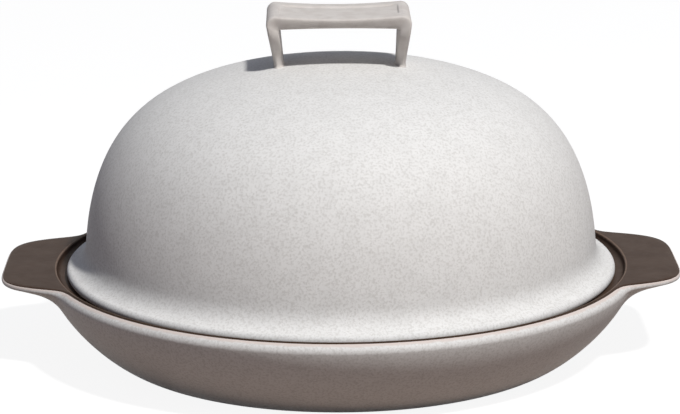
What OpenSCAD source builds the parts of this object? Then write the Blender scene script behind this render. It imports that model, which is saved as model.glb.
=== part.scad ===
// Bread cloche in stoneware: a shallow dish with two flat tab handles, and a domed lid with a strap handle.
// The origin is at the middle of the foot, on the table. X runs from tab to tab and Z is up.

/* [Dish] */
// Height of the lip above the table
dish_h = 45; // [38:1:60]
// Radius that the outside wall would reach at the height of the lip
rim_r = 151.6; // [125:0.1:185]
// How far the outside wall flares out from the foot to the lip
wall_flare = 37.6; // [30:0.1:46]
// Width of the ring that the dish stands on
foot_ring_w = 8; // [5:1:14]
// Depth of the recess inside the foot ring
foot_recess = 1.5; // [0.5:0.5:3]
// Thickness of the floor, with its glaze
floor_t = 8; // [6:0.5:11]
// Thickness of the lip
lip_t = 5.5; // [4.5:0.5:8]
// Depth of the lid's seat below the lip
seat_depth = 4.5; // [4:0.5:8]
// Width of the flat seat that the lid's flange stands on
seat_w = 7; // [5:0.2:9]
// How far the inside wall flares out from the floor to the ledge
inside_flare = 27.8; // [20:0.1:34]

/* [Glaze] */
// Thickness of the dark liner glaze
glaze_t = 0.4; // [0.3:0.1:0.8]
// How far the liner glaze reaches over the top of the lip
glaze_reach = 1.8; // [1.5:0.1:2.5]

/* [Tab handles] */
// How far a tab stands out from the rim
tab_out = 21.5; // [16:0.5:30]
// Width of a tab, as its sides would run on to the middle of the dish
tab_w = 112; // [90:1:130]
// Thickness of a tab at its edge
tab_edge_t = 2.6; // [2.4:0.1:4]
// How much a tab thickens for each millimetre from its edge towards the dish
tab_taper = 0.32; // [0.1:0.01:0.35]
// How far down the wall the curve under a tab's root starts
tab_root_h = 15; // [14:0.5:18]
// How far out from the rim the curve under a tab's root ends
tab_root_l = 9; // [5:0.5:11]
// Rounding of a tab's edge, seen from above
tab_edge_r = 1.3; // [1:0.1:2]
// Thickness that a tab's clay thins out to, where it ends on the dish
tab_feather = 0.4; // [0.3:0.1:0.8]

/* [Dome] */
// Height of the dome's crown above the dish's lip
dome_h = 104; // [80:1:130]
// Thickness of the dome's wall
dome_wall = 7; // [5:0.5:9]
// Gap between the lid's flange and the dish's lip
lid_gap = 5; // [3:0.5:7]
// How far the flange stands out from the dome's wall
flange_w = 9.7; // [9:0.1:12]
// Thickness of the flange at its rounded edge
flange_t = 5.4; // [4.6:0.2:6.6]
// Slope of the flange's top at its edge
flange_slope = 14; // [8:1:25]
// Height above the flange's edge at which the wall begins to sweep out into it
flange_sweep = 11; // [8:0.5:14]

/* [Strap handle] */
// Length of the strap over its legs, at the top
strap_l = 72.6; // [64:0.1:90]
// Length of the strap over its legs, where they meet the dome
strap_foot_l = 66; // [58:0.1:84]
// Height of the bar's top above the dome's crown, at its middle
strap_rise = 25.6; // [22:0.1:40]
// How much higher the bar's top is at its ends than at its middle
strap_saddle = 1.4; // [0:0.1:3]
// Width of the bar, from front to back
bar_w = 43; // [30:1:50]
// Thickness of the bar at its middle
bar_t = 5.3; // [4:0.1:7]
// Thickness of the bar at its ends
bar_end_t = 7.2; // [5.5:0.1:8]
// Thickness of a leg below the bar
leg_t = 6.2; // [5:0.1:8]
// Thickness of a leg at the dome
leg_foot_t = 5; // [4.5:0.1:7.5]
// Width of a leg at the dome, from front to back
leg_foot_w = 16; // [12:1:28]
// Rounding outside the corners
strap_outer_round = 4.5; // [3:0.1:6]
// Rounding inside the corners
strap_inner_round = 1.2; // [0.8:0.1:2]
// Length of the blank panel sunk into the top of the bar
panel_l = 60; // [30:1:62]
// Width of the blank panel
panel_w = 27; // [16:1:34]
// Depth of the blank panel
panel_depth = 1; // [0.3:0.1:1.2]

/* [Hidden] */
$fn = 96;

// Powers that shape the curves: the dish's outside, its inside, the dome, a tab's corners and a strap leg
wall_power_r = 1.57;
wall_power_z = 1.306;
inside_power = 0.8;
dome_power_r = 6.4;
dome_power_z = 2.08;
dome_crown = 0.607;
tab_corner_power = 5.2;
tab_blend_power = 40;
leg_power = 1.8;

// Small roundings at the lid's seat and at the lip's inner edge
seat_round = 1.4;
lip_inner_round = 1.2;
// Most that the cove between the seat and the lip may take
widest_cove = 3.2;
// Roundings of the strap's long edges: tight along the outside, and drawn in from there to the inside
strap_edge_w = 1.3;
strap_edge_h = 1.2;
strap_under_w = 3.3;
strap_under_power = 0.65;
// Hair's breadth left at the joints between a tab and the dish, and between the strap and the dome
joint_gap = 0.03;
strap_joint_gap = 0.1;

// Steps along curves, closer together near the foot of the dish's wall
wall_steps = 28;
wall_step_power = 1.4;
arc_steps = 6;
dome_steps = 44;
tab_steps = 22;
edge_steps = 6;
root_steps = 8;
leg_steps = 8;
corner_steps = 8;
bar_steps = 6;
strap_edge_steps = 5;
// Degrees that a tab's clay runs on along the rim, past the crossing of its side with the rim
tab_run_on = 1.5;
// How far a leg's edges turn from the strap's roundings towards an ellipse at the dome
leg_foot_roundness = 0.45;
// Slope of the sunk panel's wall, as its width seen from above
panel_edge = 0.5;
// Most of the strap's flat that the panel and its wall may take
panel_flat_share = 0.8;
panel_edge_share = 0.1;
// Two points of an outline that are nearer than this are one
same_point = 0.005;

foot_r = rim_r - wall_flare;
clay_top = dish_h - glaze_t;
seat_z = dish_h - seat_depth;
lip_cove = min(widest_cove, seat_depth - lip_inner_round - 0.1);
lip_round = lip_t - glaze_reach;
lip_base_z = clay_top - lip_round;
lip_outer_r = wall_r(lip_base_z);
lip_inner_r = lip_outer_r - lip_t;
glaze_edge_r = lip_inner_r + glaze_reach;
flange_r = lip_inner_r - lid_gap;
flange_edge_r = flange_t / 2;
ledge_inner_r = flange_r - flange_edge_r - seat_w;
floor_r = ledge_inner_r - inside_flare;
tab_tip_x = lip_outer_r + tab_out;
tab_end_angle = asin(tab_w / 2 / lip_outer_r) + tab_run_on;
tab_angles = [for (i = [-tab_steps:tab_steps]) tab_end_angle * i / tab_steps];
tab_start_angle = asin(1 - tab_feather / lip_round);
dome_r = flange_r - flange_w;
crown_z = dish_h + dome_h;

pale_colour = [0.86, 0.86, 0.84];
liner_colour = [0.30, 0.25, 0.22];
strap_colour = [0.76, 0.73, 0.70];

// Points on a circle about centre, from one angle to another
function arc(centre, radius, from, to, steps) =
    [for (i = [0:steps]) let (a = from + (to - from) * i / steps)
        [centre[0] + radius * cos(a), centre[1] + radius * sin(a)]];

// Points on a curve that leaves start towards turn and reaches end from turn
function bend(start, turn, end, steps) =
    [for (i = [0:steps]) let (s = i / steps)
        pow(1 - s, 2) * start + 2 * s * (1 - s) * turn + pow(s, 2) * end];

// A closed outline without the points that repeat the one after them
function outline(points) =
    [for (i = [0:len(points) - 1]) let (step = norm(points[i] - points[(i + 1) % len(points)]))
        if (step > same_point) points[i]];

function reverse(list) = [for (i = [len(list) - 1:-1:0]) list[i]];

// Radius of the dish's outside wall at a height
function wall_r(z) =
    let (lean = asin(pow((dish_h - z) / dish_h, 1 / wall_power_z)))
    foot_r + (rim_r - foot_r) * pow(cos(lean), wall_power_r);

// Outside of the dish from its foot to the base of the lip
function wall_points() =
    [for (i = [0:wall_steps]) let (z = lip_base_z * pow(i / wall_steps, wall_step_power)) [wall_r(z), z]];

// The dish's inside from the middle of the floor to the end of the glaze, sunk by a depth below the glaze
function inside_points(depth) = concat(
    [[0, floor_t - depth]],
    [for (i = [0:wall_steps / 2]) let (a = 90 * i / (wall_steps / 2))
        [floor_r + (ledge_inner_r - floor_r) * pow(sin(a), inside_power) + depth,
         floor_t - depth + (seat_z - seat_round - floor_t + depth) * (1 - pow(cos(a), inside_power))]],
    arc([ledge_inner_r + seat_round, seat_z - seat_round], seat_round - depth, 180, 90, arc_steps),
    arc([lip_inner_r - lip_cove, seat_z + lip_cove], lip_cove + depth, 270, 360, arc_steps),
    arc([lip_inner_r + lip_inner_round, dish_h - lip_inner_round],
        lip_inner_round - depth, 180, 90, arc_steps),
    [[glaze_edge_r, dish_h - depth]]);

module dish() {
    color(pale_colour)
    rotate_extrude()
    polygon(outline(concat(
        [[0, foot_recess], [foot_r - foot_ring_w - foot_recess, foot_recess], [foot_r - foot_ring_w, 0]],
        wall_points(),
        arc([glaze_edge_r, lip_base_z], lip_round, 0, 90, arc_steps),
        reverse(inside_points(glaze_t)))));
}

module liner_glaze() {
    color(liner_colour)
    rotate_extrude()
    polygon(outline(concat(inside_points(glaze_t), reverse(inside_points(0)))));
}

// Distance from the dish's middle to a tab's outline, with the corner between tab and rim filled.
// The inset draws the outline in, and the base is the radius that it blends into.
function tab_reach(angle, inset, base) =
    let (
        along = cos(angle) / tab_tip_x,
        across = abs(sin(angle)) / (tab_w / 2),
        power_sum = pow(along, tab_corner_power) + pow(across, tab_corner_power),
        tab = pow(power_sum, -1 / tab_corner_power) - inset
    )
    pow(pow(tab, tab_blend_power) + pow(base, tab_blend_power), 1 / tab_blend_power);

// Share of the full tab that a section has: 0 at the ends of the blend and 1 across the tab
function tab_share(reach) = min(1, max(0, (reach - lip_outer_r) / lip_t));

// The dish's own surface under a tab, a gap outside it, in as many points as tab_points gives
function root_points(gap) = concat(
    [for (p = arc([glaze_edge_r, lip_base_z], lip_round + gap, tab_start_angle, 0, edge_steps + 2))
        [p[0], min(p[1], clay_top)]],
    [for (i = [1:root_steps]) let (z = lip_base_z - (tab_root_h - lip_round) * i / root_steps)
        [wall_r(z) + gap, z]]);

// A radial section through a tab: its top, its rounded edge, and its underside, which curves into the wall
function tab_points(reach) =
    let (
        edge_r = reach - tab_edge_r,
        under = clay_top - tab_edge_t - tab_taper * edge_r,
        start_r = min(edge_r - tab_edge_r / 2, lip_outer_r + tab_root_l),
        end_z = clay_top - tab_root_h,
        end_r = wall_r(end_z) + joint_gap + tab_feather,
        wall_lean = wall_r(end_z + 0.5) - wall_r(end_z - 0.5),
        turn_r = (end_r + wall_lean * (under - end_z)) / (1 - wall_lean * tab_taper),
        start = [start_r, under + tab_taper * start_r],
        turn = [turn_r, under + tab_taper * turn_r]
    )
    concat(
        [[root_points(joint_gap)[0][0], clay_top]],
        [for (i = [0:edge_steps]) let (a = 90 - 180 * i / edge_steps)
            [edge_r + tab_edge_r * cos(a), clay_top - tab_edge_t / 2 + tab_edge_t / 2 * sin(a)]],
        bend(start, turn, [end_r, end_z], root_steps));

// Points part of the way from one list to another
function blend(a, b, share) = [for (i = [0:len(a) - 1]) a[i] + (b[i] - a[i]) * share];

// One ring of the tab's solid: the section out and around, then back up along the dish's surface
function tab_ring(angle) =
    let (
        reach = tab_reach(angle, 0, lip_outer_r),
        section = blend(root_points(joint_gap + tab_feather), tab_points(reach), tab_share(reach)),
        way_back = reverse(root_points(joint_gap))
    )
    [for (p = concat(section, way_back)) [p[0] * cos(angle), p[0] * sin(angle), p[1]]];

// A solid through a list of rings that have the same number of points. Each ring runs anticlockwise, seen
// from the ring after it, and every face is then clockwise from outside.
module skin(rings) {
    count = len(rings[0]);
    last = len(rings) - 1;
    points = [for (ring = rings) each ring];
    sides = [for (k = [0:last - 1]) for (i = [0:count - 1])
        let (a = k * count + i, b = k * count + (i + 1) % count)
        each [[a, b + count, b], [a, a + count, b + count]]];
    polyhedron(points, concat(
        sides,
        [[for (i = [0:count - 1]) i]],
        [[for (i = [count - 1:-1:0]) last * count + i]]));
}

module tab_handle() {
    color(pale_colour)
    skin([for (angle = tab_angles) tab_ring(angle)]);
}

module right_tab_handle() {
    tab_handle();
}

module left_tab_handle() {
    rotate(180)
    tab_handle();
}

// Flat coat of liner glaze on a tab's top, out to where the edge begins to round
module tab_glaze() {
    inner_r = glaze_edge_r + joint_gap;
    coat = [for (angle = tab_angles)
        let (reach = tab_reach(angle, tab_edge_r, glaze_edge_r))
        if (reach > inner_r + glaze_t) [angle, reach]];
    color(liner_colour)
    translate([0, 0, clay_top + joint_gap])
    linear_extrude(glaze_t - joint_gap)
    polygon(concat(
        [for (p = coat) p[1] * [cos(p[0]), sin(p[0])]],
        [for (p = reverse(coat)) inner_r * [cos(p[0]), sin(p[0])]]));
}

module right_tab_glaze() {
    tab_glaze();
}

module left_tab_glaze() {
    rotate(180)
    tab_glaze();
}

// Height of a dome's surface above its springing, as a share of its rise, at a share of its radius
function dome_share(u) =
    pow(max(0, 1 - dome_crown * pow(u, 2) - (1 - dome_crown) * pow(u, dome_power_r)), 1 / dome_power_z);

// Points of a dome from its crown down to a height, for a radius and a rise above the lip's height
function dome_points(radius, rise, end_z) =
    [for (i = [0:dome_steps]) let (u = sin(90 * i / dome_steps), z = dish_h + rise * dome_share(u))
        if (z > end_z) [radius * u, z]];

function dome_outside_z(r) = dish_h + dome_h * dome_share(r / dome_r);

// Radius of the dome's outside at a height a little above its springing
function low_wall_r(z) =
    let (share = max(0, z - dish_h) / dome_h, steepness = 2 * dome_crown + (1 - dome_crown) * dome_power_r)
    dome_r * (1 - pow(share, dome_power_z) / steepness);

// The lid's wall sweeps out into a sloping flange, whose rounded edge stands on the dish's ledge
module dome() {
    inner_r = dome_r - dome_wall;
    edge_centre = [flange_r - flange_edge_r, seat_z + flange_edge_r];
    end = edge_centre + flange_edge_r * [sin(flange_slope), cos(flange_slope)];
    start_z = end[1] + flange_sweep;
    start_r = low_wall_r(start_z);
    wall_lean = low_wall_r(start_z - 0.5) - low_wall_r(start_z + 0.5);
    slope = tan(flange_slope);
    turn_r = (start_r + wall_lean * (flange_sweep - end[0] * slope)) / (1 - wall_lean * slope);
    color(pale_colour)
    rotate_extrude()
    polygon(outline(concat(
        dome_points(dome_r, dome_h, start_z),
        bend([start_r, start_z], [turn_r, end[1] + (end[0] - turn_r) * slope], end, 2 * arc_steps),
        arc(edge_centre, flange_edge_r, 90 - flange_slope, -90, 2 * arc_steps),
        [[inner_r + seat_round, seat_z], [inner_r, seat_z + seat_round]],
        reverse(dome_points(inner_r, dome_h - dome_wall, dish_h)))));
}

// The strap's outside and inside lines, seen from the front. Each runs up a leg, round a corner about the
// centre given here, and along the bar.
bar_top_z = crown_z + strap_rise;
outer_corner = [strap_l / 2 - strap_outer_round, bar_top_z + strap_saddle - strap_outer_round];
inner_corner = [strap_l / 2 - leg_t - strap_inner_round,
    bar_top_z + strap_saddle - bar_end_t - strap_inner_round];
foot_z = dome_outside_z((strap_foot_l - leg_foot_t) / 2);
outer_foot = [strap_foot_l / 2, foot_z];
inner_foot = [strap_foot_l / 2 - leg_foot_t, foot_z];
leg_lean = atan((strap_l - strap_foot_l) / 2 / (outer_corner[1] - foot_z));
outer_leg_top = outer_corner + strap_outer_round * [cos(leg_lean), -sin(leg_lean)];
inner_leg_top = inner_corner + strap_inner_round * [cos(leg_lean), -sin(leg_lean)];
underside_dip = strap_saddle + bar_t - bar_end_t;
panel_end_x = min(panel_l / 2, outer_corner[0] - panel_edge);

// Stations along half the strap, from its foot to the middle of the bar. Each holds its point on the outside
// line, its point on the inside line, how far it is up the leg, from 0 to 1, and how deep the panel is sunk.
function half_strap_stations() = concat(
    [for (i = [0:leg_steps - 1]) let (s = i / leg_steps)
        [outer_foot + (outer_leg_top - outer_foot) * s,
         inner_foot + (inner_leg_top - inner_foot) * s, s, 0]],
    [for (i = [0:corner_steps]) let (a = -leg_lean + (90 + leg_lean) * i / corner_steps)
        [outer_corner + strap_outer_round * [cos(a), sin(a)],
         inner_corner + strap_inner_round * [cos(a), sin(a)], 1, 0]],
    [for (x = bar_stations()) let (s = x / outer_corner[0])
        [[x, bar_top_z + strap_saddle * pow(s, 2)],
         [inner_corner[0] * s, bar_top_z - bar_t + underside_dip * pow(s, 2)],
         1, x < panel_end_x ? panel_depth : 0]]);

// Places along half the bar, from its end to its middle, with two at the wall of the sunk panel
function bar_stations() = concat(
    [panel_end_x + panel_edge / 2, panel_end_x - panel_edge / 2],
    [for (i = [1:bar_steps]) (panel_end_x - panel_edge) * (1 - i / bar_steps)]);

// Half of the strap's section, from its outside to its inside: a tight edge and a wide one. Each point holds
// its place across the strap and its height above the inside.
function strap_edge(half_w, thick, edge_w, edge_h, under_w) = concat(
    [for (i = [0:strap_edge_steps]) let (a = 90 - 90 * i / strap_edge_steps)
        [half_w - edge_w * (1 - cos(a)), thick - edge_h * (1 - sin(a))]],
    [for (i = [1:strap_edge_steps]) let (a = 90 * i / strap_edge_steps)
        [half_w - under_w * pow(1 - cos(a), strap_under_power), (thick - edge_h) * (1 - sin(a))]]);

// Section of the strap across its width, with the sunk panel in its outside
function strap_section(half_w, thick, up, sink) =
    let (
        round_share = pow(1 - up, 2) * leg_foot_roundness,
        edge_w = strap_edge_w + (half_w - strap_edge_w) * round_share,
        edge_h = strap_edge_h + (thick / 2 - strap_edge_h) * round_share,
        under_w = strap_under_w + (half_w - strap_under_w) * round_share,
        half = strap_edge(half_w, thick, edge_w, edge_h, under_w),
        flat = half_w - edge_w,
        panel_y = min(panel_w / 2, panel_flat_share * flat),
        rim_y = panel_y + min(panel_edge, panel_edge_share * flat)
    )
    concat(
        half,
        [for (p = reverse(half)) [-p[0], p[1]]],
        [[-rim_y, thick], [-panel_y, thick - sink], [panel_y, thick - sink], [rim_y, thick]]);

// How wide the strap is along a leg, from its foot to the bar
function strap_w(up) = leg_foot_w + (bar_w - leg_foot_w) * pow(sin(90 * up), leg_power);

// One ring of the strap's solid, on the right side or, mirrored, on the left
function strap_ring(station, side) =
    let (
        inner = station[1],
        up = station[2],
        thick = norm(station[0] - inner),
        outward = (station[0] - inner) / thick
    )
    [for (p = strap_section(strap_w(up) / 2, thick, up, station[3])) let (
        place = inner + outward * p[1])
        [side * place[0], p[0],
         up == 0 ? dome_outside_z(norm([place[0], p[0]])) + strap_joint_gap : place[1]]];

module strap_handle() {
    stations = half_strap_stations();
    color(strap_colour)
    skin(concat(
        [for (s = stations) strap_ring(s, 1)],
        [for (i = [len(stations) - 2:-1:0]) strap_ring(stations[i], -1)]));
}

dish();
liner_glaze();
left_tab_handle();
right_tab_handle();
left_tab_glaze();
right_tab_glaze();
dome();
strap_handle();
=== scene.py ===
"""Looks of a stoneware bread cloche: a dish with two tab handles, and a domed lid with a strap handle.

Lengths are in millimetres and angles in degrees, as in the CAD source. Each mesh is scaled to metres once.
"""

import math

import bmesh
import bpy
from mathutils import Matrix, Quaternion, Vector


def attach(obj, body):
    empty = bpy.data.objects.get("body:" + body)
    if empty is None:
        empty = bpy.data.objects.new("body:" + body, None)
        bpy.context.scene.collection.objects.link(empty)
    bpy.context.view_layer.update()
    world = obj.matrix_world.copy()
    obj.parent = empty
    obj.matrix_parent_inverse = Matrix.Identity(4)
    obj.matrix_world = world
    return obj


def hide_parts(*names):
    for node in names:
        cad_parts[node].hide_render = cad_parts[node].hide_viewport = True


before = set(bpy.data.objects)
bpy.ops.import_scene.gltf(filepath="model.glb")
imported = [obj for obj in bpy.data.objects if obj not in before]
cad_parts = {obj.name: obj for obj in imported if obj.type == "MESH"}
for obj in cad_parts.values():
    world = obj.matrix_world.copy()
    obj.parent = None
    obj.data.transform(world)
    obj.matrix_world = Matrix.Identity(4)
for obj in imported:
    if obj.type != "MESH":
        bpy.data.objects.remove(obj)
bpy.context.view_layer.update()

METRE = 1000.0

# Dish, as in the CAD source
DISH_H = 45.0
RIM_R = 151.6
WALL_FLARE = 37.6
FOOT_R = RIM_R - WALL_FLARE
FOOT_RING_W = 8.0
FOOT_RECESS = 1.5
FLOOR_T = 8.0
LIP_T = 5.5
SEAT_DEPTH = 4.5
SEAT_Z = DISH_H - SEAT_DEPTH
SEAT_W = 7.0
INSIDE_FLARE = 27.8
WALL_POWER_R = 1.57
WALL_POWER_Z = 1.306
INSIDE_POWER = 0.8
SEAT_ROUND = 1.4
LIP_INNER_ROUND = 1.2
LIP_COVE = 3.2

# Liner glaze
GLAZE_T = 0.4
GLAZE_REACH = 1.8
CLAY_TOP = DISH_H - GLAZE_T
# How far the coat's hidden underside is sunk into the clay
COAT_SINK = 0.1
# Length over which the coat thins out to its edge
COAT_TAPER = 1.6
# Steps of the rim's outline past its flat top that the coat still covers
COAT_EDGE_STEPS = 3

# Tab handles
TAB_OUT = 21.5
TAB_W = 112.0
TAB_EDGE_T = 2.6
TAB_TAPER = 0.32
TAB_ROOT_H = 15.0
TAB_ROOT_L = 9.0
TAB_EDGE_R = 1.3
TAB_CORNER_POWER = 5.2
TAB_BLEND_POWER = 40
# Distance from the rim over which a tab's section takes over from the lip's
TAB_EASE = 2.4
# Half of the angle that a tab's piece takes, and the steps over it
TAB_HALF_ANGLE = 27.0
TAB_STEPS = 68
# How deep a tab's thin ends and its hidden back lie inside the dish's clay
TAB_SINK = 0.12
TAB_BACK_SINK = 1.0
# Share of a tab by which its ends have come up out of the clay, and the least share that counts as a tab
TAB_SINK_SHARE = 1 / 6
LEAST_TAB_SHARE = 1e-4

# Lid
DOME_H = 104.0
DOME_WALL = 7.0
LID_GAP = 5.0
FLANGE_W = 9.7
FLANGE_T = 5.4
FLANGE_SLOPE = 14.0
FLANGE_SWEEP = 11.0
DOME_POWER_R = 6.4
DOME_POWER_Z = 2.08
DOME_CROWN = 0.607
CROWN_Z = DISH_H + DOME_H

# Strap handle
STRAP_L = 72.6
STRAP_FOOT_L = 66.0
STRAP_RISE = 25.6
STRAP_SADDLE = 1.4
BAR_W = 43.0
BAR_T = 5.3
BAR_END_T = 7.2
LEG_T = 6.2
LEG_FOOT_T = 5.0
LEG_FOOT_W = 16.0
LEG_POWER = 1.8
LEG_FOOT_ROUNDNESS = 0.45
STRAP_OUTER_ROUND = 4.5
STRAP_INNER_ROUND = 1.2
STRAP_EDGE_W = 1.3
STRAP_EDGE_H = 1.2
STRAP_UNDER_W = 3.3
STRAP_UNDER_POWER = 0.65
PANEL_L = 60.0
PANEL_W = 27.0
PANEL_DEPTH = 1.0
PANEL_CORNER_R = 3.5
PANEL_EDGE = 0.9
# The strap leans to the left by this much at its top
STRAP_LEAN = 0.5
# The strap's feet run this far into the dome, and a fillet of slip rises this high round them
STRAP_SINK = 0.8
SLIP_H = 1.4
SLIP_W = 0.6

# Steps along the outlines and round the axis
ROUND_STEPS = 360
ARC_STEPS = 8
WALL_STEPS = 40
# How much closer together the steps of the wall and of the strap's legs are near their feet
FOOT_STEP_POWER = 1.7
INSIDE_STEPS = 28
FLOOR_STEPS = 10
# Steps over half of the rim between the two tabs
FAR_STEPS = 84
EDGE_STEPS = 16
UNDER_STEPS = 8
ROOT_STEPS = 20
DOME_STEPS = 64


def clamp(x):
    return min(1.0, max(0.0, x))


def smooth(x):
    """0 below 0, 1 above 1, and a smooth step between them."""
    x = clamp(x)
    return x * x * (3 - 2 * x)


def cosd(angle):
    return math.cos(math.radians(angle))


def sind(angle):
    return math.sin(math.radians(angle))


def between(a, b, share):
    """The point that is this share of the way from a to b."""
    return tuple(p + (q - p) * share for p, q in zip(a, b))


def line(a, b, steps):
    """Points from a to b, without b."""
    return [between(a, b, i / steps) for i in range(steps)]


def arc(centre, radius, start, end, steps):
    """Points on a circle about centre, from one angle to another, both ends included."""
    angles = [start + (end - start) * i / steps for i in range(steps + 1)]
    return [(centre[0] + radius * cosd(a), centre[1] + radius * sind(a)) for a in angles]


def bend(start, turn, end, steps):
    """Points on a curve that leaves start towards turn and reaches end from turn, both ends included."""
    shares = [i / steps for i in range(steps + 1)]
    return [between(between(start, turn, s), between(turn, end, s), s) for s in shares]


def wall_radius(z):
    """Radius of the dish's outside wall at a height."""
    lean = math.asin(((DISH_H - z) / DISH_H) ** (1 / WALL_POWER_Z))
    return FOOT_R + WALL_FLARE * math.cos(lean) ** WALL_POWER_R


def wall_slope(z):
    """How much the wall moves outwards for each millimetre up."""
    return wall_radius(z + 0.5) - wall_radius(z - 0.5)


LIP_ROUND = LIP_T - GLAZE_REACH
LIP_OUTER_R = wall_radius(CLAY_TOP - LIP_ROUND)
LIP_INNER_R = LIP_OUTER_R - LIP_T
FLANGE_R = LIP_INNER_R - LID_GAP
FLANGE_EDGE_R = FLANGE_T / 2
LEDGE_INNER_R = FLANGE_R - FLANGE_EDGE_R - SEAT_W
FLOOR_R = LEDGE_INNER_R - INSIDE_FLARE
DOME_R = FLANGE_R - FLANGE_W
TAB_TIP_X = LIP_OUTER_R + TAB_OUT


def lip_rounding():
    """Centre of the lip's outer rounding, and the angle below level at which it runs into the wall."""
    lean = 0.0
    for _ in range(8):
        meet_z = CLAY_TOP - LIP_ROUND - LIP_ROUND * sind(lean)
        lean = math.degrees(math.atan(wall_slope(meet_z)))
    return (wall_radius(meet_z) - LIP_ROUND * cosd(lean), CLAY_TOP - LIP_ROUND), lean


LIP_CENTRE, LIP_LEAN = lip_rounding()
LIP_MEET_Z = LIP_CENTRE[1] - LIP_ROUND * sind(LIP_LEAN)
ROOT_END_Z = CLAY_TOP - TAB_ROOT_H


def inside_points(depth):
    """The dish's inside from the middle of its floor to the lip's flat top, sunk by a depth."""
    points = line((0.0, FLOOR_T - depth), (FLOOR_R + depth, FLOOR_T - depth), FLOOR_STEPS)
    rise = SEAT_Z - SEAT_ROUND - FLOOR_T + depth
    for i in range(INSIDE_STEPS + 1):
        turn = 90 * i / INSIDE_STEPS
        points.append((
            FLOOR_R + INSIDE_FLARE * sind(turn) ** INSIDE_POWER + depth,
            FLOOR_T - depth + rise * (1 - max(0.0, cosd(turn)) ** INSIDE_POWER),
        ))
    seat_edge = (LEDGE_INNER_R + SEAT_ROUND, SEAT_Z - SEAT_ROUND)
    cove = (LIP_INNER_R - LIP_COVE, SEAT_Z + LIP_COVE)
    lip_edge = (LIP_INNER_R + LIP_INNER_ROUND, DISH_H - LIP_INNER_ROUND)
    points += arc(seat_edge, SEAT_ROUND - depth, 180, 90, ARC_STEPS)[1:]
    points += arc(cove, LIP_COVE + depth, 270, 360, 2 * ARC_STEPS)
    points += arc(lip_edge, LIP_INNER_ROUND - depth, 180, 90, ARC_STEPS)
    return points


def bare_rim(sink):
    """The rim's outline where it has no tab: round the lip and down the wall, sunk by a depth."""
    points = arc(LIP_CENTRE, LIP_ROUND - sink, 90, -LIP_LEAN, EDGE_STEPS)
    steps = UNDER_STEPS + ROOT_STEPS
    for i in range(1, steps + 1):
        z = LIP_MEET_Z + (ROOT_END_Z - LIP_MEET_Z) * i / steps
        points.append((wall_radius(z) - sink, z))
    return points


def tab_reach(angle, base):
    """Distance from the dish's middle to a tab's outline, blended into a circle of radius base."""
    along = abs(cosd(angle)) / TAB_TIP_X
    across = abs(sind(angle)) / (TAB_W / 2)
    tab = (along ** TAB_CORNER_POWER + across ** TAB_CORNER_POWER) ** (-1 / TAB_CORNER_POWER)
    larger = max(tab, base)
    total = (tab / larger) ** TAB_BLEND_POWER + (base / larger) ** TAB_BLEND_POWER
    return larger * total ** (1 / TAB_BLEND_POWER)


def tab_rim(reach):
    """The rim's outline across a tab: round its edge, along its underside and down into the wall."""
    edge_r = reach - TAB_EDGE_R
    half_t = TAB_EDGE_T / 2
    under = CLAY_TOP - TAB_EDGE_T - TAB_TAPER * edge_r
    start_r = min(edge_r - TAB_EDGE_R / 2, LIP_OUTER_R + TAB_ROOT_L)
    start = (start_r, under + TAB_TAPER * start_r)
    end_r = wall_radius(ROOT_END_Z)
    slope = wall_slope(ROOT_END_Z)
    turn_r = (end_r + slope * (under - ROOT_END_Z)) / (1 - slope * TAB_TAPER)
    turn = (turn_r, under + TAB_TAPER * turn_r)
    points = []
    for i in range(EDGE_STEPS + 1):
        a = 90 - 180 * i / EDGE_STEPS
        points.append((edge_r + TAB_EDGE_R * cosd(a), CLAY_TOP - half_t + half_t * sind(a)))
    points += line(points[-1], start, UNDER_STEPS)[1:]
    return points + bend(start, turn, (end_r, ROOT_END_Z), ROOT_STEPS)


def rim_at(angle):
    """The rim's outline at an angle from the X axis, with as much of a tab as it has there."""
    stand = tab_reach(angle, LIP_OUTER_R) - LIP_OUTER_R
    share = 1 - math.exp(-stand / TAB_EASE)
    sink = TAB_SINK * (1 - smooth(share / TAB_SINK_SHARE))
    if share < LEAST_TAB_SHARE:
        return bare_rim(sink)
    full = tab_rim(LIP_OUTER_R + stand / share)
    return [between(a, b, share) for a, b in zip(bare_rim(sink), full)]


def dish_section():
    """The dish's clay from the middle of its underside, round the lip, to the middle of its floor."""
    ring_inner_r = FOOT_R - FOOT_RING_W
    recess_r = ring_inner_r - FOOT_RECESS
    points = line((0.0, FOOT_RECESS), (recess_r - 0.5, FOOT_RECESS), FLOOR_STEPS)
    points += [
        (recess_r - 0.5, FOOT_RECESS),
        (recess_r - 0.1, FOOT_RECESS - 0.08),
        (recess_r + 0.2, FOOT_RECESS - 0.35),
        (ring_inner_r - 0.3, 0.38),
        (ring_inner_r, 0.12),
        (ring_inner_r + 0.5, 0.0),
    ]
    points += line((ring_inner_r + 2, 0.0), (FOOT_R, 0.0), 4)
    points.append((FOOT_R, 0.0))
    for i in range(1, WALL_STEPS):
        z = LIP_MEET_Z * (i / WALL_STEPS) ** FOOT_STEP_POWER
        points.append((wall_radius(z), z))
    points += reversed(arc(LIP_CENTRE, LIP_ROUND, 90, -LIP_LEAN, 2 * EDGE_STEPS))
    points += reversed(inside_points(GLAZE_T))
    return points


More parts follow.
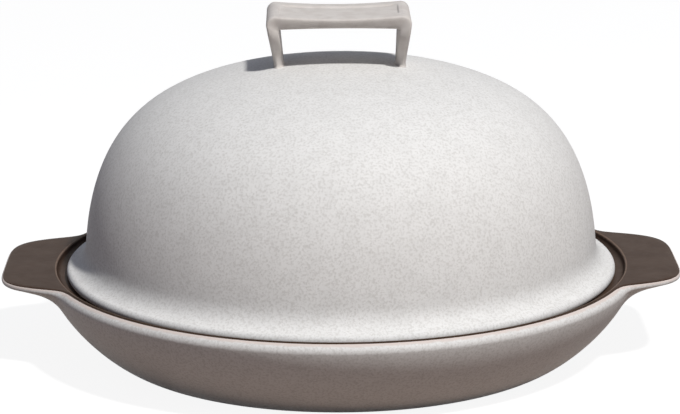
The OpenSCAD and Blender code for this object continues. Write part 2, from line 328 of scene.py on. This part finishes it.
def coat_section(angle):
    """The liner glaze at an angle: its face from the middle of the floor to its edge, and its hidden back."""
    rim = rim_at(angle)
    face = inside_points(0.0)
    inner = face.pop()
    outer = (rim[0][0], CLAY_TOP)
    flat = line((inner[0], CLAY_TOP), outer, 8) + rim[:COAT_EDGE_STEPS + 1]
    way = [0.0]
    for a, b in zip(reversed(flat[:-1]), reversed(flat[1:])):
        way.append(way[-1] + math.dist(a, b))
    way.reverse()
    for i, (point, left) in enumerate(zip(flat, way)):
        before = flat[max(0, i - 1)]
        after = flat[min(len(flat) - 1, i + 1)]
        along = Vector((after[0] - before[0], after[1] - before[1])).normalized()
        thick = GLAZE_T * sind(90 * clamp(left / COAT_TAPER)) if left > 0 else -COAT_SINK
        face.append((point[0] - along.y * thick, point[1] + along.x * thick))
    back = [(r, z - COAT_SINK) for r, z in reversed(flat[:-1])]
    return face + back + inside_points(GLAZE_T + COAT_SINK)[::-1]


def dome_share(u):
    """Height of a dome above its springing, as a share of its rise, at a share of its radius."""
    return max(0.0, 1 - DOME_CROWN * u ** 2 - (1 - DOME_CROWN) * u ** DOME_POWER_R) ** (1 / DOME_POWER_Z)


def dome_points(radius, rise, end_z):
    """Points of a dome from its crown down to a height."""
    points = []
    for i in range(DOME_STEPS + 1):
        u = sind(90 * i / DOME_STEPS)
        z = DISH_H + rise * dome_share(u)
        if z > end_z:
            points.append((radius * u, z))
    return points


def dome_outside_z(r):
    return DISH_H + DOME_H * dome_share(r / DOME_R)


def low_wall_radius(z):
    """Radius of the dome's outside at a height a little above its springing."""
    steepness = 2 * DOME_CROWN + (1 - DOME_CROWN) * DOME_POWER_R
    return DOME_R * (1 - ((z - DISH_H) / DOME_H) ** DOME_POWER_Z / steepness)


def dome_section():
    """The lid from the top of its crown, round the flange, to the middle of its inside."""
    inner_r = DOME_R - DOME_WALL
    edge_centre = (FLANGE_R - FLANGE_EDGE_R, SEAT_Z + FLANGE_EDGE_R)
    edge = arc(edge_centre, FLANGE_EDGE_R, 90 - FLANGE_SLOPE, -90, 3 * ARC_STEPS)
    end_r, end_z = edge[0]
    start_z = end_z + FLANGE_SWEEP
    start_r = low_wall_radius(start_z)
    wall_lean = low_wall_radius(start_z - 0.5) - low_wall_radius(start_z + 0.5)
    slope = math.tan(math.radians(FLANGE_SLOPE))
    turn_r = (start_r + wall_lean * (FLANGE_SWEEP - end_r * slope)) / (1 - wall_lean * slope)
    turn = (turn_r, end_z + (end_r - turn_r) * slope)
    points = dome_points(DOME_R, DOME_H, start_z)
    points += line(points[-1], (start_r, start_z), 3)[1:]
    points += bend((start_r, start_z), turn, (end_r, end_z), 3 * ARC_STEPS) + edge[1:]
    points += line((FLANGE_R - FLANGE_EDGE_R - 1, SEAT_Z), (inner_r + SEAT_ROUND, SEAT_Z), 3)
    points += arc((inner_r + SEAT_ROUND, SEAT_Z + SEAT_ROUND), SEAT_ROUND, 270, 180, ARC_STEPS)
    points += reversed(dome_points(inner_r, DOME_H - DOME_WALL, SEAT_Z + SEAT_ROUND + 1))
    return points


def add_piece(name, rings, closed_rings, goes_round, material, body, slot, *replaced):
    """A closed smooth mesh through rings of points. It rides on a body and stands for CAD nodes."""
    count = len(rings[0])
    solid = bmesh.new()
    grid = [[solid.verts.new(Vector(p) / METRE) for p in ring] for ring in rings]
    across = range(count) if closed_rings else range(count - 1)
    for k in range(len(grid) if goes_round else len(grid) - 1):
        a = grid[k]
        b = grid[(k + 1) % len(grid)]
        for i in across:
            j = (i + 1) % count
            solid.faces.new((a[i], a[j], b[j], b[i]))
    if not goes_round:
        solid.faces.new(grid[0])
        solid.faces.new(grid[-1])
    bmesh.ops.remove_doubles(solid, verts=solid.verts, dist=1e-7)
    bmesh.ops.recalc_face_normals(solid, faces=solid.faces)
    for face in solid.faces:
        face.smooth = True
    mesh = bpy.data.meshes.new(name)
    solid.to_mesh(mesh)
    solid.free()
    mesh.materials.append(material)
    piece = bpy.data.objects.new(name, mesh)
    bpy.context.scene.collection.objects.link(piece)
    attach(piece, body)
    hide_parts(*replaced)
    return piece


def turned(section, angle):
    """A section of radius and height, as points in space at an angle from the X axis."""
    return [(r * cosd(angle), r * sind(angle), z) for r, z in section]


def tab_angle_list():
    """Angles round the whole dish, closer together across the two tabs."""
    fine = [TAB_HALF_ANGLE * i / TAB_STEPS for i in range(-TAB_STEPS, TAB_STEPS)]
    coarse = [TAB_HALF_ANGLE + (180 - 2 * TAB_HALF_ANGLE) * i / FAR_STEPS for i in range(FAR_STEPS)]
    half = fine + coarse
    return half + [angle + 180 for angle in half]


def tab_rings(middle):
    """Rings of a tab's solid, from one end of it to the other, round the angle of its middle."""
    rings = []
    for i in range(-TAB_STEPS, TAB_STEPS + 1):
        angle = TAB_HALF_ANGLE * i / TAB_STEPS
        rim = rim_at(angle)
        back = bare_rim(TAB_BACK_SINK)
        section = [(back[0][0], CLAY_TOP - TAB_SINK)] + rim + back[::-3]
        rings.append(turned(section, middle + angle))
    return rings


# The strap's outside and inside lines, seen from the front
BAR_TOP_Z = CROWN_Z + STRAP_RISE
OUTER_CORNER = (STRAP_L / 2 - STRAP_OUTER_ROUND, BAR_TOP_Z + STRAP_SADDLE - STRAP_OUTER_ROUND)
INNER_CORNER = (
    STRAP_L / 2 - LEG_T - STRAP_INNER_ROUND,
    BAR_TOP_Z + STRAP_SADDLE - BAR_END_T - STRAP_INNER_ROUND,
)
FOOT_Z = dome_outside_z((STRAP_FOOT_L - LEG_FOOT_T) / 2)
OUTER_FOOT = (STRAP_FOOT_L / 2, FOOT_Z)
INNER_FOOT = (STRAP_FOOT_L / 2 - LEG_FOOT_T, FOOT_Z)
LEG_LEAN = math.degrees(math.atan((STRAP_L - STRAP_FOOT_L) / 2 / (OUTER_CORNER[1] - FOOT_Z)))
OUTER_LEG_TOP = arc(OUTER_CORNER, STRAP_OUTER_ROUND, -LEG_LEAN, 90, 1)[0]
INNER_LEG_TOP = arc(INNER_CORNER, STRAP_INNER_ROUND, -LEG_LEAN, 90, 1)[0]
UNDERSIDE_DIP = STRAP_SADDLE + BAR_T - BAR_END_T
LEG_STEPS = 22
CORNER_STEPS = 20
BAR_STEPS = 12
ACROSS_STEPS = 12
# How fast the foot's fit to the dome fades up the leg
FOOT_FADE_POWER = 6


def edge_spread(middle, width, steps):
    """Places across a narrow band about a middle."""
    return [middle + width * (i / steps - 0.5) for i in range(steps + 1)]


def strap_stations():
    """Stations from the right foot to the middle of the bar.

    Each holds a point outside, a point inside and the share up the leg.
    """
    sunk = -STRAP_SINK / (OUTER_LEG_TOP[1] - FOOT_Z)
    ups = [sunk] + [(i / LEG_STEPS) ** FOOT_STEP_POWER for i in range(LEG_STEPS)]
    stations = [
        (between(OUTER_FOOT, OUTER_LEG_TOP, up), between(INNER_FOOT, INNER_LEG_TOP, up), up) for up in ups
    ]
    outer = arc(OUTER_CORNER, STRAP_OUTER_ROUND, -LEG_LEAN, 90, CORNER_STEPS)
    inner = arc(INNER_CORNER, STRAP_INNER_ROUND, -LEG_LEAN, 90, CORNER_STEPS)
    stations += [(a, b, 1.0) for a, b in zip(outer, inner)]
    places = edge_spread(PANEL_L / 2, 2 * PANEL_EDGE, BAR_STEPS)
    places += [places[0] * (1 - i / BAR_STEPS) for i in range(1, BAR_STEPS + 1)]
    for x in sorted((p for p in places if p < OUTER_CORNER[0] - 0.1), reverse=True):
        s = x / OUTER_CORNER[0]
        top = (x, BAR_TOP_Z + STRAP_SADDLE * s ** 2)
        underside = (INNER_CORNER[0] * s, BAR_TOP_Z - BAR_T + UNDERSIDE_DIP * s ** 2)
        stations.append((top, underside, 1.0))
    return stations


def panel_sink(x, y):
    """Depth of the sunk panel under a point of the bar's top."""
    out_x = abs(x) - (PANEL_L / 2 - PANEL_CORNER_R)
    out_y = abs(y) - (PANEL_W / 2 - PANEL_CORNER_R)
    outside = math.hypot(max(0.0, out_x), max(0.0, out_y)) + min(0.0, max(out_x, out_y)) - PANEL_CORNER_R
    return PANEL_DEPTH * smooth(0.5 - outside / PANEL_EDGE)


def strap_section(half_w, thick, grow):
    """Section of the strap: points across its width and above its inside, with the edges rounded."""
    round_share = (1 - grow) ** 2 * LEG_FOOT_ROUNDNESS
    edge_w = STRAP_EDGE_W + (half_w - STRAP_EDGE_W) * round_share
    edge_h = STRAP_EDGE_H + (thick / 2 - STRAP_EDGE_H) * round_share
    under_w = STRAP_UNDER_W + (half_w - STRAP_UNDER_W) * round_share
    half = []
    for i in range(EDGE_STEPS // 2 + 1):
        a = 180 * i / EDGE_STEPS
        half.append((half_w - edge_w * (1 - sind(a)), thick - edge_h * (1 - cosd(a))))
    for i in range(1, EDGE_STEPS // 2 + 1):
        a = 180 * i / EDGE_STEPS
        drawn_in = under_w * (1 - cosd(a)) ** STRAP_UNDER_POWER
        half.append((half_w - drawn_in, (thick - edge_h) * (1 - sind(a))))
    far_half = [(-across, up) for across, up in reversed(half)]
    bands = edge_spread(PANEL_W / 2, 2 * PANEL_EDGE, 10)
    places = sorted(bands + [-b for b in bands] + [0.0, 4.0, -4.0, 8.0, -8.0])
    flat_share = (half_w - edge_w) / (BAR_W / 2 - STRAP_EDGE_W)
    top = [(flat_share * p, thick) for p in places]
    return half + line(half[-1], far_half[0], ACROSS_STEPS)[1:] + far_half + top


def strap_ring(station, side):
    outer, inner, up = station
    grow = clamp(up)
    thick = math.dist(outer, inner)
    along = ((outer[0] - inner[0]) / thick, (outer[1] - inner[1]) / thick)
    half_w = (LEG_FOOT_W + (BAR_W - LEG_FOOT_W) * sind(90 * grow) ** LEG_POWER) / 2
    slip = SLIP_W * clamp(1 - up * (OUTER_LEG_TOP[1] - FOOT_Z) / SLIP_H) ** 2
    ring = []
    for across, out in strap_section(half_w + slip, thick + 2 * slip, grow):
        out -= slip
        px = inner[0] + out * along[0]
        pz = inner[1] + out * along[1]
        if up == 1.0 and out > thick / 2:
            pz -= panel_sink(px, across)
        if up < 1:
            level = FOOT_Z + out * along[1]
            pz += (1 - grow) ** FOOT_FADE_POWER * (dome_outside_z(math.hypot(px, across)) - level)
        lean = STRAP_LEAN * clamp((pz - FOOT_Z) / STRAP_RISE)
        ring.append((side * px - lean, across, pz))
    return ring


def strap_rings():
    stations = strap_stations()
    right = [strap_ring(s, 1) for s in stations]
    left = [strap_ring(s, -1) for s in stations[-2::-1]]
    return right + left


class Glaze:
    """A procedural material about one Principled shader, in the object's own coordinates."""

    def __init__(self, name):
        self.material = bpy.data.materials.new(name)
        self.material.use_nodes = True
        self.tree = self.material.node_tree
        self.shader = self.tree.nodes["Principled BSDF"]
        self.place = self.node("TexCoord").outputs["Object"]

    def node(self, kind, **values):
        made = self.tree.nodes.new("ShaderNode" + kind)
        for name, value in values.items():
            setattr(made, name, value)
        return made

    def join(self, source, socket):
        """Links an output to an input, or sets the input if source is a plain value."""
        if isinstance(source, bpy.types.NodeSocket):
            self.tree.links.new(source, socket)
        else:
            socket.default_value = source

    def noise(self, size, detail=2.0, roughness=0.5):
        """Noise whose blobs are about this many millimetres across."""
        made = self.node("TexNoise")
        self.join(self.place, made.inputs["Vector"])
        made.inputs["Scale"].default_value = METRE / size
        made.inputs["Detail"].default_value = detail
        made.inputs["Roughness"].default_value = roughness
        return made.outputs["Fac"]

    def specks(self, spacing, radius, share):
        """1 inside scattered round specks, for a share of the cells of this spacing, and 0 elsewhere."""
        cells = self.node("TexVoronoi", feature="F1")
        self.join(self.place, cells.inputs["Vector"])
        cells.inputs["Scale"].default_value = METRE / spacing
        near = self.step(cells.outputs["Distance"], radius / spacing, 0.4 * radius / spacing)
        pick = self.node("SeparateColor")
        self.join(cells.outputs["Color"], pick.inputs["Color"])
        chosen = self.step(pick.outputs["Red"], share, share - 0.05)
        return self.math("MULTIPLY", near, chosen)

    def step(self, value, start, end):
        """0 at start, 1 at end and smooth between them."""
        made = self.node("MapRange", interpolation_type="SMOOTHSTEP")
        self.join(value, made.inputs["Value"])
        low, high = sorted((start, end))
        made.inputs["From Min"].default_value = low
        made.inputs["From Max"].default_value = high
        made.inputs["To Min"].default_value = 0.0 if start < end else 1.0
        made.inputs["To Max"].default_value = 1.0 if start < end else 0.0
        return made.outputs["Result"]

    def scale(self, value, low, high):
        """A value from 0 to 1, stretched to a range."""
        made = self.node("MapRange")
        self.join(value, made.inputs["Value"])
        made.inputs["To Min"].default_value = low
        made.inputs["To Max"].default_value = high
        return made.outputs["Result"]

    def math(self, operation, a, b):
        made = self.node("Math", operation=operation)
        self.join(a, made.inputs[0])
        self.join(b, made.inputs[1])
        return made.outputs["Value"]

    def blend(self, share, a, b):
        """Colour a where share is 0 and colour b where it is 1."""
        made = self.node("Mix", data_type="RGBA")
        self.join(share, made.inputs[0])
        self.join((*a, 1.0) if isinstance(a, tuple) else a, made.inputs[6])
        self.join((*b, 1.0) if isinstance(b, tuple) else b, made.inputs[7])
        return made.outputs[2]

    def height(self):
        """Height above the table in millimetres, for a piece at rest."""
        parts = self.node("SeparateXYZ")
        self.join(self.place, parts.inputs["Vector"])
        return self.math("MULTIPLY", parts.outputs["Z"], METRE)

    def radius(self):
        """Distance from the axis in millimetres."""
        flat = self.node("VectorMath", operation="MULTIPLY")
        self.join(self.place, flat.inputs[0])
        flat.inputs[1].default_value = (METRE, METRE, 0.0)
        length = self.node("VectorMath", operation="LENGTH")
        self.join(flat.outputs["Vector"], length.inputs[0])
        return length.outputs["Value"]

    def finish(self, colour, roughness, relief, depth, ior):
        """Connects the colour, the roughness and a relief of this many millimetres."""
        self.join(colour, self.shader.inputs["Base Color"])
        self.join(roughness, self.shader.inputs["Roughness"])
        self.shader.inputs["IOR"].default_value = ior
        bump = self.node("Bump")
        bump.inputs["Strength"].default_value = 1.0
        bump.inputs["Distance"].default_value = depth / METRE
        self.join(relief, bump.inputs["Height"])
        self.join(bump.outputs["Normal"], self.shader.inputs["Normal"])
        return self.material


PALE = (0.775, 0.770, 0.757)
PALE_SPECK = (0.50, 0.485, 0.46)
PALE_CLOUD = (0.745, 0.740, 0.727)
TAN_EDGE = (0.66, 0.58, 0.54)
BARE_CLAY = (0.56, 0.45, 0.36)
LINER = (0.050, 0.030, 0.021)
LINER_CLOUD = (0.064, 0.041, 0.030)
# Lighter brown of the lip's inner edge: partly glaze thinning there and partly painted highlight
LINER_THIN_AND_HIGHLIGHT = (0.17, 0.115, 0.085)
STRAP = (0.62, 0.585, 0.555)
STRAP_CLOUD = (0.56, 0.52, 0.49)
STRAP_SPECK = (0.42, 0.38, 0.35)


def pale_glaze(name, bare_below, tan_edge):
    """Pale glaze with fine soft specks, bare clay below a height, and tan at the rim's top edge."""
    glaze = Glaze(name)
    grain = glaze.noise(1.2, 2.0, 0.6)
    cloud = glaze.noise(9.0, 3.0)
    colour = glaze.blend(glaze.step(cloud, 0.35, 0.7), PALE, PALE_CLOUD)
    colour = glaze.blend(glaze.math("MULTIPLY", glaze.step(grain, 0.42, 0.68), 0.46), colour, PALE_SPECK)
    specks = glaze.specks(2.3, 0.45, 0.45)
    colour = glaze.blend(glaze.math("MULTIPLY", specks, 0.40), colour, PALE_SPECK)
    if tan_edge:
        wander = glaze.scale(glaze.noise(4.0), -0.6, 0.6)
        high = glaze.math("ADD", glaze.height(), wander)
        colour = glaze.blend(glaze.step(high, CLAY_TOP - 1.5, CLAY_TOP - 0.5), colour, TAN_EDGE)
    wander = glaze.scale(glaze.noise(6.0), -0.15, 0.15)
    bare = glaze.step(glaze.math("ADD", glaze.height(), wander), bare_below + 0.3, bare_below)
    colour = glaze.blend(bare, colour, BARE_CLAY)
    rough = glaze.math("ADD", glaze.scale(glaze.noise(2.5), 0.56, 0.70), glaze.math("MULTIPLY", bare, 0.2))
    relief = glaze.math("ADD", grain, glaze.math("MULTIPLY", glaze.noise(3.5), 0.6))
    return glaze.finish(colour, rough, relief, 0.05, 1.2)


def liner_glaze():
    """Dark satin glaze, with a lighter brown line on the lip's inner edge: partly the glaze thinning there
    and partly a painted highlight along the edge's rounding.
    """
    glaze = Glaze("dark_liner_glaze")
    cloud = glaze.noise(14.0, 4.0)
    colour = glaze.blend(glaze.step(cloud, 0.3, 0.7), LINER, LINER_CLOUD)
    # Painted highlight, partly also glaze thinning: a lighter brown line along the rounded inner edge of the
    # lip
    inner = glaze.math("ADD", glaze.radius(), glaze.scale(glaze.noise(8.0), -0.12, 0.12))
    rising = glaze.step(inner, LIP_INNER_R + 0.15, LIP_INNER_R + 0.5)
    falling = glaze.step(inner, LIP_INNER_R + 1.3, LIP_INNER_R + 0.8)
    on_top = glaze.step(glaze.height(), DISH_H - 0.9, DISH_H - 0.3)
    thin_and_highlight = glaze.math("MULTIPLY", glaze.math("MULTIPLY", rising, falling), on_top)
    colour = glaze.blend(glaze.math("MULTIPLY", thin_and_highlight, 0.8), colour, LINER_THIN_AND_HIGHLIGHT)
    grain = glaze.noise(1.2)
    rough = glaze.scale(glaze.noise(5.0), 0.42, 0.54)
    relief = glaze.math("ADD", grain, glaze.math("MULTIPLY", glaze.noise(7.0), 2.0))
    return glaze.finish(colour, rough, relief, 0.02, 1.12)


def strap_glaze():
    """Smoother glaze of the strap, a little darker and warmer than the dome's."""
    glaze = Glaze("strap_glaze")
    colour = glaze.blend(glaze.step(glaze.noise(7.0, 3.0), 0.35, 0.7), STRAP, STRAP_CLOUD)
    specks = glaze.math("MULTIPLY", glaze.specks(1.8, 0.3, 0.35), 0.3)
    colour = glaze.blend(specks, colour, STRAP_SPECK)
    rough = glaze.scale(glaze.noise(3.0), 0.48, 0.60)
    relief = glaze.math("ADD", glaze.noise(1.0), glaze.noise(4.0))
    return glaze.finish(colour, rough, relief, 0.03, 1.2)


dish_glaze = pale_glaze("pale_dish_glaze", 0.1, True)
dome_glaze = pale_glaze("pale_dome_glaze", SEAT_Z + 0.1, False)

round_angles = [360 * i / ROUND_STEPS for i in range(ROUND_STEPS)]
dish = dish_section()
dish_rings = [turned(dish, angle) for angle in round_angles]
add_piece("dish_body", dish_rings, False, True, dish_glaze, "base", "pale_glaze", "dish")
dome = dome_section()
dome_rings = [turned(dome, angle) for angle in round_angles]
add_piece("dome_shell", dome_rings, False, True, dome_glaze, "lid", "pale_glaze", "dome")
add_piece("right_tab", tab_rings(0), True, False, dish_glaze, "base", "pale_glaze", "right_tab_handle")
add_piece("left_tab", tab_rings(180), True, False, dish_glaze, "base", "pale_glaze", "left_tab_handle")


def tab_angle(angle):
    """The angle from the nearer tab's middle."""
    return (angle + 90) % 180 - 90


coat_rings = [turned(coat_section(tab_angle(angle)), angle) for angle in tab_angle_list()]
add_piece(
    "liner_coat", coat_rings, False, True, liner_glaze(), "base", "dark_glaze",
    "liner_glaze", "left_tab_glaze", "right_tab_glaze",
)
add_piece("strap", strap_rings(), True, False, strap_glaze(), "lid", "strap_glaze", "strap_handle")


def link_object(name, data):
    made = bpy.data.objects.new(name, data)
    bpy.context.scene.collection.objects.link(made)
    return made


def seen_share(tree):
    """1 for what the camera, a reflection or glass sees, and 0 for light that falls on the object."""
    path = tree.nodes.new("ShaderNodeLightPath")
    total = path.outputs["Is Camera Ray"]
    for name in ("Is Glossy Ray", "Is Transmission Ray"):
        larger = tree.nodes.new("ShaderNodeMath")
        larger.operation = "MAXIMUM"
        tree.links.new(total, larger.inputs[0])
        tree.links.new(path.outputs[name], larger.inputs[1])
        total = larger.outputs["Value"]
    return total


FLOOR_GLOW = 0.82
FLOOR_GLOW_STRENGTH = 1.1
FLOOR_SEEN = (0.92, 0.92, 0.92)
FLOOR_BOUNCE = (0.265, 0.205, 0.172)
SKY_FILL = (0.118, 0.130, 0.170)
KEY_DIRECTION = Vector((0.290, -0.515, 0.807)).normalized()
KEY_DISTANCE = 2.6
KEY_SIZE = 0.20
KEY_POWER = 64.5
AIM = Vector((-0.0003, 0.0, 0.0729))
# The photograph is tilted by this much, with its left side low
CAMERA_ROLL = -0.35


def make_floor():
    """A plain pale floor that is near white where it is seen and keeps the object's shadow."""
    mesh = bpy.data.meshes.new("floor")
    half = 6.0
    corners = [(-half, -half, 0), (half, -half, 0), (half, half, 0), (-half, half, 0)]
    mesh.from_pydata(corners, [], [(0, 1, 2, 3)])
    floor = link_object("floor", mesh)
    material = bpy.data.materials.new("floor")
    material.use_nodes = True
    tree = material.node_tree
    tree.nodes.clear()
    bounce = tree.nodes.new("ShaderNodeBsdfDiffuse")
    bounce.inputs["Color"].default_value = (*FLOOR_BOUNCE, 1.0)
    seen = tree.nodes.new("ShaderNodeBsdfDiffuse")
    seen.inputs["Color"].default_value = (*FLOOR_SEEN, 1.0)
    glow = tree.nodes.new("ShaderNodeEmission")
    glow.inputs["Strength"].default_value = FLOOR_GLOW_STRENGTH
    pale = tree.nodes.new("ShaderNodeMixShader")
    pale.inputs["Fac"].default_value = FLOOR_GLOW
    tree.links.new(seen.outputs["BSDF"], pale.inputs[1])
    tree.links.new(glow.outputs["Emission"], pale.inputs[2])
    both = tree.nodes.new("ShaderNodeMixShader")
    tree.links.new(seen_share(tree), both.inputs["Fac"])
    tree.links.new(bounce.outputs["BSDF"], both.inputs[1])
    tree.links.new(pale.outputs["Shader"], both.inputs[2])
    output = tree.nodes.new("ShaderNodeOutputMaterial")
    tree.links.new(both.outputs["Shader"], output.inputs["Surface"])
    mesh.materials.append(material)


def make_world():
    """A white surround where it is seen, and a low cool fill for the light that falls on the object."""
    world = bpy.data.worlds.new("surround")
    world.use_nodes = True
    tree = world.node_tree
    background = tree.nodes["Background"]
    colour = tree.nodes.new("ShaderNodeMix")
    colour.data_type = "RGBA"
    tree.links.new(seen_share(tree), colour.inputs[0])
    colour.inputs[6].default_value = (*SKY_FILL, 1.0)
    colour.inputs[7].default_value = (1.0, 1.0, 1.0, 1.0)
    tree.links.new(colour.outputs[2], background.inputs["Color"])
    bpy.context.scene.world = world


def make_key():
    """The one lamp, high on the right in front of the object."""
    lamp = bpy.data.lights.new("key", "AREA")
    lamp.shape = "DISK"
    lamp.size = KEY_SIZE
    lamp.energy = KEY_POWER
    lamp.color = (1.0, 0.985, 0.96)
    key = link_object("key", lamp)
    key.location = AIM + KEY_DIRECTION * KEY_DISTANCE
    key.rotation_euler = KEY_DIRECTION.to_track_quat("Z", "Y").to_euler()


def make_camera():
    """The camera of the photograph: a long lens from the front, a little above the dish."""
    data = bpy.data.cameras.new("camera")
    data.sensor_width = 36.0
    data.lens = 158.8
    data.clip_end = 30.0
    camera = link_object("camera", data)
    camera.location = (-0.017, -1.4873, 0.4519)
    level = (AIM - camera.location).to_track_quat("-Z", "Y")
    roll = Quaternion((0.0, 0.0, 1.0), math.radians(CAMERA_ROLL))
    camera.rotation_euler = (level @ roll).to_euler()
    bpy.context.scene.camera = camera


make_floor()
make_world()
make_key()
make_camera()
bpy.context.scene.view_settings.view_transform = "Standard"
